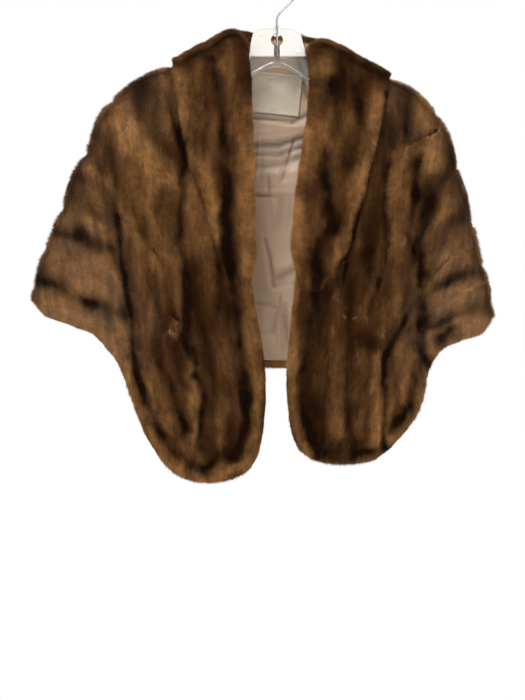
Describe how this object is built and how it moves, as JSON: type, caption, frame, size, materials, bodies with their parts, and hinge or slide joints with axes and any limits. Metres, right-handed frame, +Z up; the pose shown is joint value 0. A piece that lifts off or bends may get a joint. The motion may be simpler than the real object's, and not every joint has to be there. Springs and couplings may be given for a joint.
{
  "type": "fur stole on hanger",
  "caption": "Short fur wrap with a shawl collar, a satin lining and long rounded fronts, hung open on a clear plastic hanger with a wire hook.",
  "frame": {"origin": "inside of the crest of the hanger's hook, where a rail carries it", "axes": "+Z up, the front of the wrap faces -Y, +X to the viewer's right"},
  "size_m": [0.7485, 0.1316, 0.8263],
  "materials": {
    "fur": "long brown fur with dark stripes",
    "collar_fur": "long brown fur with dark stripes",
    "lining": "taupe satin",
    "label": "cream satin",
    "clear_plastic": "clear gloss",
    "wire": "bright steel"
  },
  "bodies": {
    "root": {"fur_front_left": "fur", "fur_front_right": "fur", "fur_back": "fur", "collar_left": "collar_fur", "collar_right": "collar_fur", "lining_left": "lining", "lining_right": "lining", "lining_back": "lining", "label": "label", "hanger_body": "clear_plastic", "hanger_hook": "wire"}
  },
  "joints": []
}
